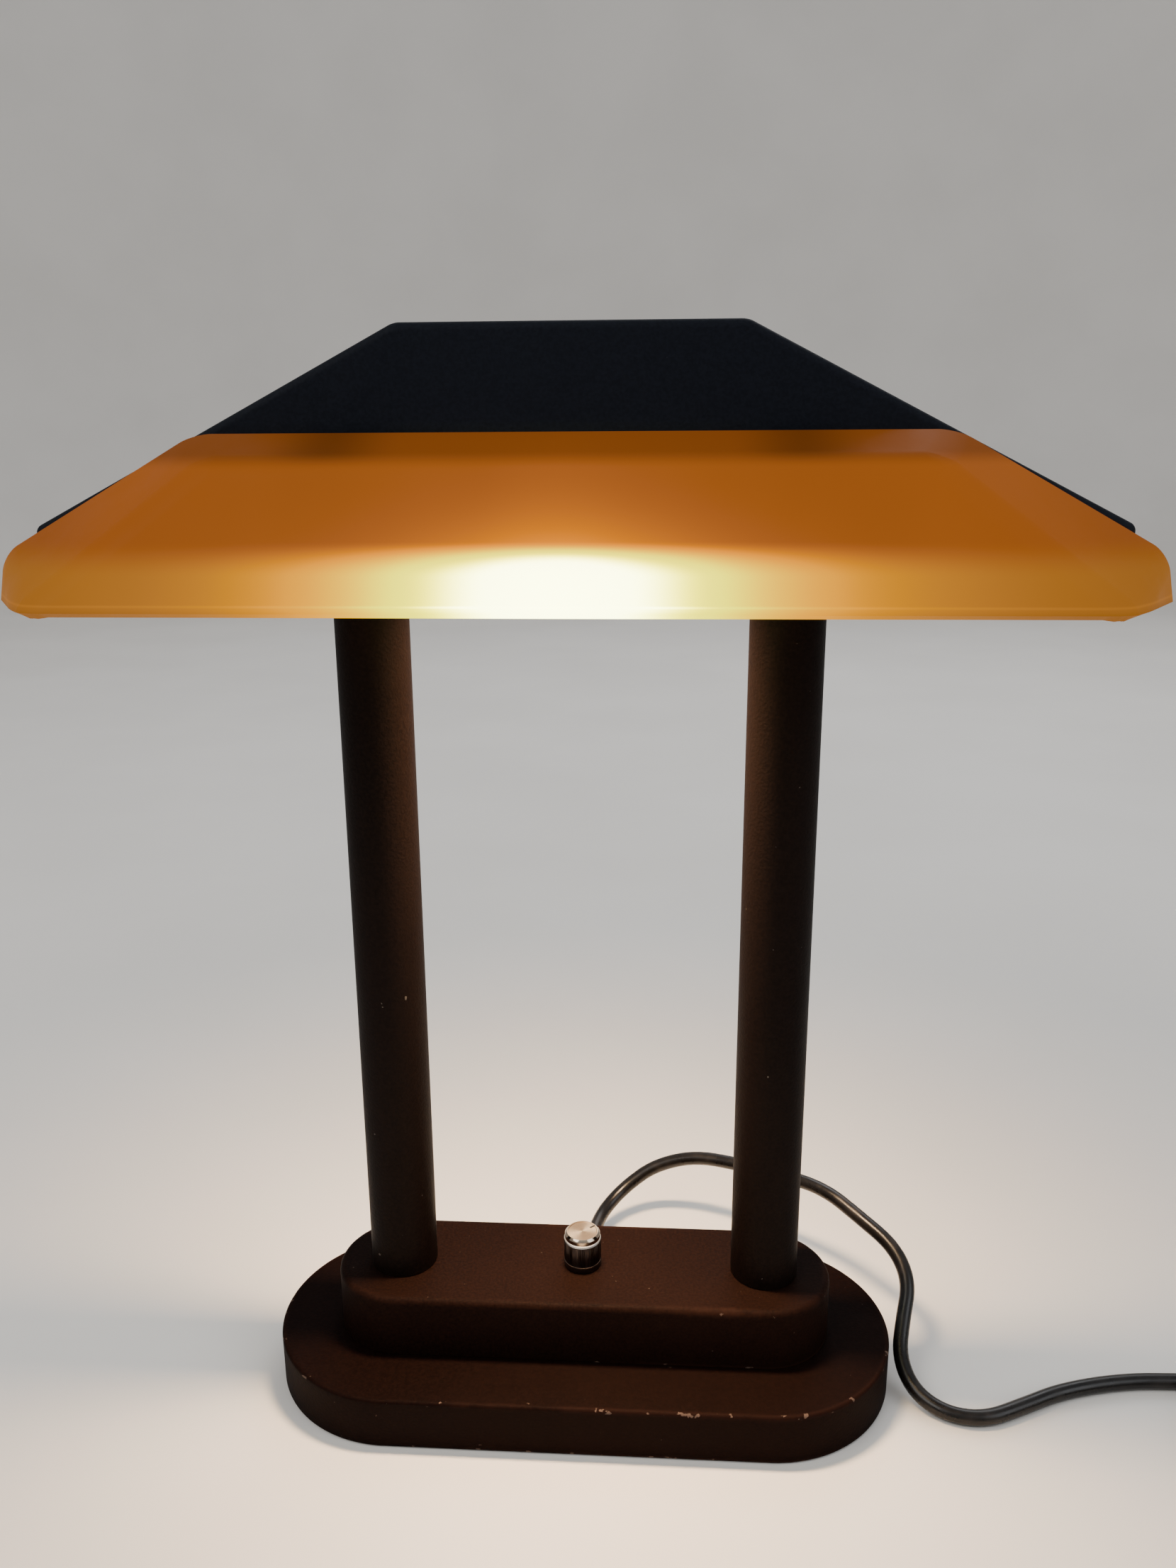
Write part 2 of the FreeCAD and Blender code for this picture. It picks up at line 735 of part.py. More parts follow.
def export(parts):
    os.makedirs("parts", exist_ok=True)
    for name, shape in parts.items():
        solids = shape if isinstance(shape, list) else [shape]
        whole = Part.makeCompound(solids) if len(solids) > 1 else solids[0]
        print(name, "solids", len(whole.Solids), "valid", whole.isValid(), "cm3", round(whole.Volume / 1000, 2))
        whole.exportStep(f"parts/{name}.step")


export(build())
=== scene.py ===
import math
import bmesh
import bpy
from mathutils import Matrix, Vector


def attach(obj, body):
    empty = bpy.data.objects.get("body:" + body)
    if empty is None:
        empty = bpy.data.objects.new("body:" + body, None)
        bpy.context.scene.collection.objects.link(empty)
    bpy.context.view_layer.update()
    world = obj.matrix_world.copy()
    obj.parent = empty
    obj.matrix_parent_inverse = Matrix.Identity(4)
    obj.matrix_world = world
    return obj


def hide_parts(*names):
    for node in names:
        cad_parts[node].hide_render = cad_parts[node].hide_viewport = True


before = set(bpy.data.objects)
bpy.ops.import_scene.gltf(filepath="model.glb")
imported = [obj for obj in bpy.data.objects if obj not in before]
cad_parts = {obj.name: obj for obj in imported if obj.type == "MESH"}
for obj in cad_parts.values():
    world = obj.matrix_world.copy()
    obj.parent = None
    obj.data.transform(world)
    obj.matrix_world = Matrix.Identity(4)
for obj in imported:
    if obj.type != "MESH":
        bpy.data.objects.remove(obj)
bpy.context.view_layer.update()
print("frame loaded")

# Metres, +Z up, the lamp faces -Y. Both posts stand at postY, postX either side of the middle.
postX = 0.083
postY = 0.011

mergeWithin = 1e-6  # points this near are one point
levelWithin = 1e-5  # points this near in height or depth are level

camera = dict(place=(0.0341, -0.4707, 0.416), yaw=-3.606, pitch=15.393, roll=0.333, lens=27.85, sensor=36,
              near=0.01, far=50)


def addObject(name, data):
    made = bpy.data.objects.new(name, data)
    bpy.context.scene.collection.objects.link(made)
    return made


def aimCamera(s):
    yaw, pitch, roll = (math.radians(s[key]) for key in ("yaw", "pitch", "roll"))
    ahead = Vector((math.sin(yaw) * math.cos(pitch), math.cos(yaw) * math.cos(pitch), -math.sin(pitch)))
    right = Vector((math.cos(yaw), -math.sin(yaw), 0))
    down = ahead.cross(right)
    across = math.cos(roll) * right + math.sin(roll) * down
    below = math.cos(roll) * down - math.sin(roll) * right
    data = bpy.data.cameras.new("camera")
    data.lens = s["lens"]
    data.sensor_width = s["sensor"]
    data.clip_start, data.clip_end = s["near"], s["far"]
    eye = addObject("camera", data)
    turn = Matrix((across, -below, -ahead)).transposed().to_4x4()
    eye.matrix_world = Matrix.Translation(s["place"]) @ turn
    bpy.context.scene.camera = eye


aimCamera(camera)


class Wire:  # one output of a shader node, so that its maths reads as an expression
    def __init__(self, tree, socket=None):
        self.tree = tree
        self.socket = socket

    def node(self, kind, settings, sockets, output=0):
        made = self.tree.nodes.new(kind)
        for key, value in settings.items():
            setattr(made, key, value)
        for key, value in sockets.items():
            if isinstance(value, Wire):
                self.tree.links.new(value.socket, made.inputs[key])
            else:
                made.inputs[key].default_value = value
        return Wire(self.tree, made.outputs[output])

    def calc(self, operation, other=0.0):
        return self.node("ShaderNodeMath", {"operation": operation}, {0: self, 1: other})

    def __add__(self, other):
        return self.calc("ADD", other)

    def __sub__(self, other):
        return self.calc("SUBTRACT", other)

    def __mul__(self, other):
        return self.calc("MULTIPLY", other)

    def __truediv__(self, other):
        return self.calc("DIVIDE", other)

    def __pow__(self, other):
        return self.calc("POWER", other)

    def __radd__(self, other):
        return self + other

    def __rsub__(self, other):
        return self * -1.0 + other

    def __rmul__(self, other):
        return self * other

    def step(self, low, high, start=0.0, end=1.0):
        return self.node("ShaderNodeMapRange", {"interpolation_type": "SMOOTHSTEP"},
                         {0: self, 1: low, 2: high, 3: start, 4: end})

    def line(self, low, high, start=0.0, end=1.0):
        return self.node("ShaderNodeMapRange", {}, {0: self, 1: low, 2: high, 3: start, 4: end})

    def band(self, middle, half):
        return 1.0 - (self - middle).calc("ABSOLUTE").step(0.0, half)


class Paint:  # one Principled material
    def __init__(self, name, colour, roughness, constants=None):
        self.material = bpy.data.materials.new(name)
        self.material.use_nodes = True
        tree = self.material.node_tree
        self.sockets = tree.nodes["Principled BSDF"].inputs
        self.sockets["Base Color"].default_value = (*colour, 1)
        self.sockets["Roughness"].default_value = roughness
        for key, value in (constants or {}).items():
            self.sockets[key].default_value = value
        self.tree = tree
        self.place = self.node("ShaderNodeTexCoord", {}, {}, "Object")
        self.x, self.y, self.z = (self.axis(k) for k in range(3))

    def axis(self, k):
        return self.node("ShaderNodeSeparateXYZ", {}, {0: self.place}, k)

    def node(self, kind, settings, sockets, output=0):
        return Wire(self.tree).node(kind, settings, sockets, output)

    def feed(self, key, value):
        self.tree.links.new(value.socket, self.sockets[key])

    def noise(self, scale, detail=3.0, stretch=(1, 1, 1), roughness=0.5):
        place = self.node("ShaderNodeVectorMath", {"operation": "MULTIPLY"}, {0: self.place, 1: stretch})
        return self.node("ShaderNodeTexNoise", {}, {
            "Vector": place, "Scale": scale, "Detail": detail, "Roughness": roughness})

    def mix(self, share, first, second):
        first, second = (v if isinstance(v, Wire) else (*v, 1) for v in (first, second))
        return self.node("ShaderNodeMix", {"data_type": "RGBA"}, {0: share, 6: first, 7: second}, 2)

    def marked(self, name):
        return self.node("ShaderNodeAttribute", {"attribute_name": name}, {}, 2)

    def bump(self, height, strength, distance):
        self.feed("Normal", self.node("ShaderNodeBump", {}, {
            "Height": height, "Strength": strength, "Distance": distance}))


def shaded(colour, factor):
    return tuple(c * factor for c in colour)


# What every powder coat here shares: the scales of its marks, how strongly each shows, and its relief.
powder = dict(cloudScale=9.0, grainScale=850.0, speckScale=330.0, patchScale=14.0, rubAndHighlightScale=45.0,
              chipScale=230.0, mottleTone=2.2, rubAndHighlightTone=3.5, specks=0.3, rubsAndEdgeHighlight=0.5, chips=0.9, chipDepth=0.8,
              speckEdge=0.02, chipFrom=0.71, chipEdge=0.02, relief=0.45, reliefDepth=0.0003)


# Fine powder coat: a little dust, pinhead specks, and rubs and chips where the edge mark is; the rubs along
# the top edge are partly a painted highlight.
def powderCoat(name, s):
    p = Paint(name, s["colour"], s["roughness"], {"Specular IOR Level": s["specular"]})
    cloud = p.noise(powder["cloudScale"], 4.0)
    grain = p.noise(powder["grainScale"], 2.0)
    tone = p.mix(cloud.step(0.35, 0.7), s["colour"], s["dust"])
    tone = p.mix(grain.line(0.35, 0.65) * s["mottle"], tone, shaded(s["dust"], powder["mottleTone"]))
    specks = p.noise(powder["speckScale"], 1.0).step(s["speckFrom"], s["speckFrom"] + powder["speckEdge"])
    tone = p.mix(specks * powder["specks"], tone, s["chip"])
    height = grain * s["grain"]
    if s["wear"]:
        edge = p.marked("edge")
        patches = p.noise(powder["patchScale"], 2.0).step(0.4, 0.62)
        rubsAndEdgeHighlight = edge * (p.noise(powder["rubAndHighlightScale"], 5.0, roughness=0.7) * 0.7 + patches * 0.3).step(0.42, 0.62)
        chipFrom = powder["chipFrom"] - s["wear"]
        flakes = p.noise(powder["chipScale"], 3.0) + patches * 0.05
        chips = edge.step(0.3, 0.9) * flakes.step(chipFrom, chipFrom + powder["chipEdge"])
        # lighter along the marked edges: worn rubs, and on the top edge partly a painted highlight
        tone = p.mix(rubsAndEdgeHighlight * powder["rubsAndEdgeHighlight"], tone, shaded(s["dust"], powder["rubAndHighlightTone"]))
        tone = p.mix(chips * powder["chips"], tone, s["chip"])
        height = height - chips * powder["chipDepth"]
    p.feed("Base Color", tone)
    p.feed("Roughness", cloud.line(0.3, 0.7, s["roughness"] - 0.05, s["roughness"] + 0.07))
    p.bump(height, powder["relief"], powder["reliefDepth"])
    return p.material


# An even finish with a little variation in tone and a relief six times as fine.
def evenFinish(name, colour, roughness, metal=0.0, scale=60.0, stretch=(1, 1, 1), contrast=0.15, depth=0.15):
    p = Paint(name, colour, roughness, {"Metallic": metal})
    tone = p.noise(scale, 4.0, stretch)
    p.feed("Base Color", p.mix(tone.step(0.3, 0.7), shaded(colour, 1 - contrast), colour))
    p.feed("Roughness", tone.line(0.3, 0.7, max(roughness - 0.06, 0.02), min(roughness + 0.08, 1.0)))
    p.bump(p.noise(scale * 6, 2.0, stretch), depth, 0.0002)
    return p.material


rubberTones = dict(plain=(0.006, 0.005, 0.005), clean=(0.0055, 0.0048, 0.0046), scuffed=(0.018, 0.015, 0.014),
                   scuffScale=70.0, grainScale=350.0)


def rubber(name, roughness, specular=0.5):
    p = Paint(name, rubberTones["plain"], roughness, {"Specular IOR Level": specular})
    scuff = p.noise(rubberTones["scuffScale"], 5.0, roughness=0.65)
    p.feed("Base Color", p.mix(scuff.step(0.5, 0.75), rubberTones["clean"], rubberTones["scuffed"]))
    p.feed("Roughness", scuff.line(0.3, 0.7, roughness - 0.08, roughness + 0.12))
    p.bump(p.noise(rubberTones["grainScale"], 2.0), 0.12, 0.0003)
    return p.material


def smoothObject(name, bm, material):
    for face in bm.faces:
        face.smooth = True
    mesh = bpy.data.meshes.new(name)
    bm.to_mesh(mesh)
    bm.free()
    mesh.materials.append(material)
    return addObject(name, mesh)


# Edges that turn by more than the angle, in degrees, stay crisp.
def piece(name, bm, body, material, replaces, angle=32):
    for edge in bm.edges:
        edge.smooth = len(edge.link_faces) == 2 and edge.calc_face_angle(0) < math.radians(angle)
    made = smoothObject(name, bm, material)
    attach(made, body)
    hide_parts(*replaces)
    return made


# Spin an outline of (radius, height) points: one that starts on the axis stays open, any other is closed.
def turned(outline, steps):
    bm = bmesh.new()
    verts = [bm.verts.new((radius, 0, height)) for radius, height in outline]
    edges = [bm.edges.new(pair) for pair in zip(verts, verts[1:])]
    if outline[0][0] > 0:
        edges.append(bm.edges.new((verts[-1], verts[0])))
    bmesh.ops.spin(bm, geom=verts + edges, cent=(0, 0, 0), axis=(0, 0, 1), angle=2 * math.pi, steps=steps,
                   use_merge=True)
    bmesh.ops.remove_doubles(bm, verts=bm.verts, dist=mergeWithin)
    bmesh.ops.recalc_face_normals(bm, faces=bm.faces)
    return bm


def settle(bm, place, turn=Matrix.Identity(4)):
    bmesh.ops.transform(bm, matrix=Matrix.Translation(place) @ turn, verts=bm.verts)
    return bm


def vertsIn(geometry):
    return [v for v in geometry if isinstance(v, bmesh.types.BMVert)]


def edgesIn(geometry):
    return [e for e in geometry if isinstance(e, bmesh.types.BMEdge)]


def bevelled(bm, edges, offset, segments):
    bmesh.ops.bevel(bm, geom=edges, offset=offset, offset_type="OFFSET", segments=segments, profile=0.5,
                    affect="EDGES", clamp_overlap=True, material=-1)


def everything(bm):
    return bm.verts[:] + bm.edges[:] + bm.faces[:]


def openAt(bm, point, normal):
    bmesh.ops.bisect_plane(bm, geom=everything(bm), plane_co=point, plane_no=normal, clear_outer=True)


blockSettings = dict(size=1.2, height=0.4)  # larger than the shade on every side, and centred near it


# What is left of a block after each plane (point, outward normal) has cut it and closed the cut.
def cutBlock(planes):
    bm = bmesh.new()
    bmesh.ops.create_cube(bm, size=blockSettings["size"])
    bmesh.ops.translate(bm, vec=(0, 0, blockSettings["height"]), verts=bm.verts)
    for point, normal in planes:
        openAt(bm, point, normal)
        bmesh.ops.edgeloop_fill(bm, edges=[e for e in bm.edges if e.is_boundary])
    bmesh.ops.recalc_face_normals(bm, faces=bm.faces)
    return bm


def highest(edge):
    return max(v.co.z for v in edge.verts)


def depthSpan(edge):
    return abs(edge.verts[0].co.y - edge.verts[1].co.y)


def thicken(made, thickness):  # inwards from the modelled skin
    wall = made.modifiers.new("wall", "SOLIDIFY")
    wall.thickness = thickness
    wall.offset = -1
    wall.use_even_offset = True


def evenShading(made):  # keeps the broad faces flat beside their rounded folds
    even = made.modifiers.new("even", "WEIGHTED_NORMAL")
    even.keep_sharp = True
    even.weight = 80


# The mains lead: over the table behind the right post, round to the right, then its spare turns and plug.
cordSettings = dict(
    diameter=0.0070, length=1.8, exit=(0, 0.089, 0.012),
    route=[
        (0, 0.089, 0.012), (0.002, 0.101, 0.012), (0.0075, 0.1125, 0.015), (0.0175, 0.122, 0.021),
        (0.0325, 0.1265, 0.031), (0.0545, 0.1225, 0.040), (0.0775, 0.1115, 0.043), (0.1015, 0.0955, 0.047),
        (0.120, 0.079, 0.0505), (0.135, 0.062, 0.0465), (0.1495, 0.0465, 0.0415), (0.1545, 0.032, 0.033),
        (0.150, 0.020, 0.022), (0.146, 0.006, 0.0125), (0.1505, -0.0085, 0.006), (0.163, -0.0185, 0.0036),
        (0.1795, -0.0205, 0.0036), (0.1965, -0.0125, 0.0036), (0.219, -0.001, 0.0036),
        (0.2495, 0.0065, 0.0036), (0.276, 0.0075, 0.0036), (0.308, 0.0095, 0.0036),
    ],
    coilCentre=(0.324, -0.0375), outer=0.047, pitch=0.007, turns=5.25, perTurn=24, low=0.0036,
    inward=((315, 359), (630, 674)), outward=((1250, 1294), (1560, 1604)), up=(940, 984),
    tail=[
        (0.371, -0.048, 0.0106), (0.371, -0.060, 0.0110), (0.371, -0.070, 0.0142), (0.371, -0.080, 0.0174),
        (0.371, -0.087, 0.0176),
    ],
)


def blendOver(t, span):
    u = min(max((t - span[0]) / (span[1] - span[0]), 0), 1)
    return u * u * (3 - 2 * u)


# Degrees round the coil give its radius and layer: three turns inwards, up a layer, and out again.
def coilPoints(s):
    x, y = s["coilCentre"]
    swell = 1 / math.cos(math.pi / s["perTurn"])  # the curve runs inside its points by this much
    points = []
    for k in range(1, round(s["turns"] * s["perTurn"]) + 1):
        t = k * 360 / s["perTurn"]
        moved = sum(blendOver(t, span) for span in s["inward"])
        moved -= sum(blendOver(t, span) for span in s["outward"])
        radius = (s["outer"] - s["pitch"] * moved) * swell
        height = s["low"] + s["pitch"] * blendOver(t, s["up"])
        a = math.radians(90 - t)
        points.append((x + radius * math.cos(a), y + radius * math.sin(a), height))
    return points


def layCord(s, material):
    points = s["route"] + coilPoints(s) + s["tail"]
    data = bpy.data.curves.new("mainsCord", "CURVE")
    data.dimensions = "3D"
    data.resolution_u = 6
    data.bevel_depth = s["diameter"] / 2
    data.bevel_resolution = 5
    data.use_fill_caps = True
    line = data.splines.new("NURBS")
    line.points.add(len(points) - 1)
    for point, place in zip(line.points, points):
        point.co = (*place, 1)
    line.order_u = 3
    line.use_endpoint_u = True
    data.materials.append(material)
    cord = addObject("mainsCord", data)
    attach(cord, "base")
    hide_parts("cord", "cord_coil", "cord_tail")
    return cord


cordRubber = rubber("cordRubber", 0.27, 0.30)
mainsCord = layCord(cordSettings, cordRubber)

reliefSettings = dict(place=(0, 0.069, 0.012), bore=0.00355, sleeve=0.0048, sunk=0.004, flange=0.0075,
                      rim=0.0015, ease=0.0006, root=0.0062, tip=0.0044, tipEase=0.0005, length=0.020,
                      ribs=6, ribsFrom=0.0026, ribsShort=0.0010, groove=0.0008)


def strainRelief(s):
    bore, sleeve, sunk, flange, rim = (s[key] for key in ("bore", "sleeve", "sunk", "flange", "rim"))
    ease, length, root, tip = (s[key] for key in ("ease", "length", "root", "tip"))
    outline = [(bore, -sunk), (sleeve, -sunk), (sleeve, 0.0), (flange, 0.0), (flange, rim),
               (flange - ease, rim + ease)]
    for k in range(s["ribs"]):
        for share, cut in ((0.0, 0), (0.62, 0), (0.68, 1), (0.94, 1)):
            h = s["ribsFrom"] + (length - s["ribsFrom"] - s["ribsShort"]) * (k + share) / s["ribs"]
            outline.append((root + (tip - root) * h / length - cut * s["groove"], h))
    outline += [(tip, length - 0.0008), (tip - s["tipEase"], length), (bore, length)]
    bm = settle(turned(outline, 64), s["place"], Matrix.Rotation(-math.pi / 2, 4, "X"))
    return piece("strainRelief", bm, "base", rubber("reliefRubber", 0.55), ["cord_gland"], 25)


reliefPiece = strainRelief(reliefSettings)

# The plug is drawn upright, from its cord end at 0, and then laid along the table.
plugSettings = dict(place=(0.371, -0.084, 0.0176), mouth=0.0036, neck=0.024, neckRadius=0.0043,
                    neckSwell=0.0019, ease=0.0006, ribs=5, ribGroove=0.0009, body=0.033, radius=0.0175,
                    shoulder=[(0.0062, -0.001), (0.0068, 0.001), (0.0105, 0.0045), (0.0150, 0.0080),
                              (0.0171, 0.0105), (0.0175, 0.0125)],
                    grips=4, gripsFrom=0.0150, gripPitch=0.0030, gripGroove=0.0007, steps=96,
                    pinRadius=0.0024, pinGap=0.0095, pinLength=0.019,
                    earthRadius=0.003, earthRise=0.006, earthDepth=0.014)
plugTurn = Matrix.Rotation(math.pi / 2, 4, "X")


def plugOutline(s):
    neck, radius, end, ease = s["neck"], s["radius"], s["neck"] + s["body"], s["ease"]
    outline = [(0.0, 0.0), (s["mouth"], 0.0), (s["neckRadius"], ease)]
    for k in range(s["ribs"]):
        for share, cut in ((0.15, 0), (0.6, 0), (0.7, 1), (1.05, 1)):
            h = ease + (neck - 0.004) * (k + share) / s["ribs"]
            outline.append((s["neckRadius"] + s["neckSwell"] * h / neck - cut * s["ribGroove"], h))
    outline += [(out, neck + h) for out, h in s["shoulder"]]
    for k in range(s["grips"]):
        h, groove = neck + s["gripsFrom"] + s["gripPitch"] * k, radius - s["gripGroove"]
        outline += [(radius, h), (groove, h + 0.0005), (groove, h + 0.0012), (radius, h + 0.0017)]
    return outline + [(radius, end - 0.0014), (radius - 0.0004, end - 0.0004), (radius - 0.0014, end)]


def plugBody(s):
    bm = turned(plugOutline(s), s["steps"])
    # the flat face round the earth hole, then the hole
    rim = [e for e in bm.edges if e.is_boundary]
    ring = bmesh.ops.create_circle(bm, segments=s["steps"] // 2, radius=s["earthRadius"])["verts"]
    bmesh.ops.translate(bm, vec=(0, s["earthRise"], s["neck"] + s["body"]), verts=ring)
    mouth = [e for e in bm.edges if e.is_wire]
    bmesh.ops.triangle_fill(bm, use_beauty=True, use_dissolve=False, edges=rim + mouth)
    walls = bmesh.ops.extrude_edge_only(bm, edges=mouth)["geom"]
    bmesh.ops.translate(bm, vec=(0, 0, -s["earthDepth"]), verts=vertsIn(walls))
    bmesh.ops.edgeloop_fill(bm, edges=[e for e in edgesIn(walls) if e.is_boundary])
    bmesh.ops.recalc_face_normals(bm, faces=bm.faces)
    settle(bm, s["place"], plugTurn)
    return piece("plugBody", bm, "base", rubber("plugRubber", 0.5), ["plug_body"], 28)


def plugPins(s):
    face, r = s["neck"] + s["body"], s["pinRadius"]
    root, tip = face - 0.001, face + s["pinLength"]
    outline = [(0.0, root), (r, root), (r, tip - 0.0025), (r - 0.0003, tip - 0.001),
               (r - 0.0011, tip - 0.0002), (0.0, tip)]
    bm = turned(outline, 48)
    bmesh.ops.translate(bm, vec=(s["pinGap"], 0, 0), verts=bm.verts)
    twin = bmesh.ops.duplicate(bm, geom=everything(bm))["geom"]
    bmesh.ops.translate(bm, vec=(-2 * s["pinGap"], 0, 0), verts=vertsIn(twin))
    settle(bm, s["place"], plugTurn)
    nickel = evenFinish("nickelPlate", (0.72, 0.70, 0.64), 0.22, 1.0, 200.0, (1, 0.1, 1), 0.1, 0.08)
    return piece("plugPins", bm, "base", nickel, ["plug_pins"])


plugPiece = plugBody(plugSettings)
pinsPiece = plugPins(plugSettings)
print("cord done")


# A block with round ends about the two posts, eased at top and foot.
def roundEndedBlock(s):
    low, top = s["low"], s["top"]
    bm = bmesh.new()
    bmesh.ops.create_circle(bm, cap_ends=True, segments=s["segments"], radius=s["radius"])
    halfStep = Matrix.Rotation(math.pi / s["segments"], 3, "Z")
    bmesh.ops.rotate(bm, verts=bm.verts, cent=(0, 0, 0), matrix=halfStep)
    for side in (-1, 1):
        half = [v for v in bm.verts if v.co.x * side > 0]
        bmesh.ops.translate(bm, vec=(side * postX, 0, 0), verts=half)
    bmesh.ops.translate(bm, vec=(0, postY, low), verts=bm.verts)
    raised = bmesh.ops.extrude_face_region(bm, geom=bm.faces[:])["geom"]
    bmesh.ops.translate(bm, vec=(0, 0, top - low), verts=vertsIn(raised))
    bmesh.ops.holes_fill(bm, edges=bm.edges)
    bmesh.ops.recalc_face_normals(bm, faces=bm.faces)
    for height, offset, segments in ((top, s["ease"], 5), (low, s["footEase"], 3)):
        rim = [e for e in bm.edges if all(abs(v.co.z - height) < mergeWithin for v in e.verts)]
        bevelled(bm, rim, offset, segments)
    return bm


def hollowedBelow(bm, s):
    lid = max(bm.faces, key=lambda f: f.calc_center_median().z + f.calc_area())
    sole = min(bm.faces, key=lambda f: f.calc_center_median().z - f.calc_area())
    bmesh.ops.inset_region(bm, faces=[lid], thickness=s["fade"], use_even_offset=True)
    bmesh.ops.inset_region(bm, faces=[sole], thickness=s["wall"], use_even_offset=True)
    hollow = bmesh.ops.extrude_face_region(bm, geom=[sole])["geom"]
    bmesh.ops.translate(bm, vec=(0, 0, s["top"] - s["roof"] - s["low"]), verts=vertsIn(hollow))
    bmesh.ops.delete(bm, geom=[sole], context="FACES_ONLY")
    bmesh.ops.recalc_face_normals(bm, faces=bm.faces)


# The edge mark is 1 on the eased foot and a smaller share on the eased top, where the rubs it brings are
# partly a painted highlight, and fades beside them.
def markEdges(bm, s):
    low, top, ease, foot, fade = (s[key] for key in ("low", "top", "ease", "footEase", "fade"))
    for height in (top - ease - fade, low + foot + fade):
        bmesh.ops.bisect_plane(bm, geom=everything(bm), plane_co=(0, 0, height), plane_no=(0, 0, 1))
    mark = bm.verts.layers.float.new("edge")
    for v in bm.verts:
        out = math.hypot(max(abs(v.co.x) - postX, 0), v.co.y - postY)
        outer = out > s["radius"] - 1.1 * max(ease, foot)
        if outer and v.co.z < low + 1.05 * foot:
            v[mark] = 1.0
        elif outer and v.co.z > top - 1.05 * ease:
            v[mark] = s["rubbedAndHighlit"]


lowerSettings = dict(radius=0.058, low=0.0006, top=0.024, ease=0.0013, footEase=0.0008, fade=0.0010,
                     wall=0.003, roof=0.004, rubbedAndHighlit=0.72, segments=144)
upperSettings = dict(radius=0.030, low=0.024, top=0.053, ease=0.0026, footEase=0.0005, fade=0.0012,
                     wall=0.003, roof=0.0035, rubbedAndHighlit=0.62, segments=144)
# One black powder coat on both steps: the lower step's is painted darker as painted shade, and the warm brown
# tint of both is partly painted warm lamplight.
lowerCoatShaded = dict(colour=(0.0034, 0.0012, 0.0009), dust=(0.0054, 0.0021, 0.0014), chip=(0.12, 0.082, 0.065),
                 roughness=0.62, specular=0.03, grain=1.0, mottle=0.3, speckFrom=0.80, wear=0.034)
upperCoat = dict(lowerCoatShaded, colour=(0.0048, 0.0019, 0.0013), dust=(0.0092, 0.0037, 0.0023), wear=0.001)


def baseStep(name, s, coat, node):
    bm = roundEndedBlock(s)
    hollowedBelow(bm, s)
    markEdges(bm, s)
    piece(name, bm, "base", powderCoat(name + "Coat", coat), [node], 30)


baseStep("lowerStep", lowerSettings, lowerCoatShaded, "lower_step")
baseStep("upperStep", upperSettings, upperCoat, "upper_step")
print("base done")

postSettings = dict(radius=0.015, wall=0.0015, low=0.053, top=0.405, ease=0.0004, steps=128)
# The posts' black powder coat has a warm brown tint that is partly painted warm lamplight.
postCoat = dict(colour=(0.0036, 0.0018, 0.0012), dust=(0.0056, 0.0030, 0.0022), chip=(0.26, 0.22, 0.19),
                roughness=0.55, specular=0.05, grain=1.1, mottle=0.35, speckFrom=0.80, wear=0)


def post(s, side, name, node, paint):
    r, low, top, ease = s["radius"], s["low"], s["top"], s["ease"]
    inner = r - s["wall"]
    outline = [(inner, low), (r - ease, low), (r, low + ease), (r, top - ease), (r - ease, top), (inner, top)]
    bm = settle(turned(outline, s["steps"]), (side * postX, postY, 0))
    piece(name, bm, "base", paint, [node])


postPaint = powderCoat("postCoat", postCoat)
post(postSettings, -1, "leftPost", "left_post", postPaint)
post(postSettings, 1, "rightPost", "right_post", postPaint)
print("posts done")

hoodSettings = dict(ridgeHalf=0.0625, ridge=0.460, eaveHalf=0.2017, eave=0.3891, low=0.384, halfDepth=0.0325,
                    slopeEase=0.0020, fold=0.0085, sheet=0.0012, spare=0.03)  # spare is cut off below low
# The hood's black powder coat is tinted blue, a painted reflection of the sky.
hoodCoatSkyReflection = dict(colour=(0.0036, 0.0048, 0.0082), dust=(0.0048, 0.0062, 0.0098), chip=(0.20, 0.20, 0.20),
                roughness=0.62, specular=0.07, grain=0.8, mottle=0.25, speckFrom=0.81, wear=0)


def hoodPlanes(s):
    rise = Vector((s["ridge"] - s["eave"], 0, s["eaveHalf"] - s["ridgeHalf"])).normalized()
    planes = [((0, 0, s["ridge"]), (0, 0, 1)), ((0, 0, s["low"] - s["spare"]), (0, 0, -1)),
              ((0, postY - s["halfDepth"], 0), (0, -1, 0)), ((0, postY + s["halfDepth"], 0), (0, 1, 0))]
    for side in (1, -1):
        planes.append(((side * s["ridgeHalf"], 0, s["ridge"]), (side * rise.x, 0, rise.z)))
        planes.append(((side * s["eaveHalf"], 0, 0), (side, 0, 0)))
    return planes


def hood(s):
    def onFaces(edge):  # both ends on the front or the back
        return all(abs(abs(v.co.y - postY) - s["halfDepth"]) < levelWithin for v in edge.verts)

    bm = cutBlock(hoodPlanes(s))
    above = s["low"] - s["spare"] / 2
    crosswise = [e for e in bm.edges if depthSpan(e) > s["halfDepth"] and highest(e) > above]
    bevelled(bm, crosswise, s["slopeEase"], 6)
    outlines = [e for e in bm.edges if depthSpan(e) < levelWithin and highest(e) > above and onFaces(e)]
    bevelled(bm, outlines, s["fold"], 10)
    openAt(bm, (0, 0, s["low"]), (0, 0, -1))
    made = piece("hoodShell", bm, "base", powderCoat("hoodCoatSkyReflection", hoodCoatSkyReflection), ["hood"], 40)
    thicken(made, s["sheet"])
    evenShading(made)


hood(hoodSettings)
print("hood done")

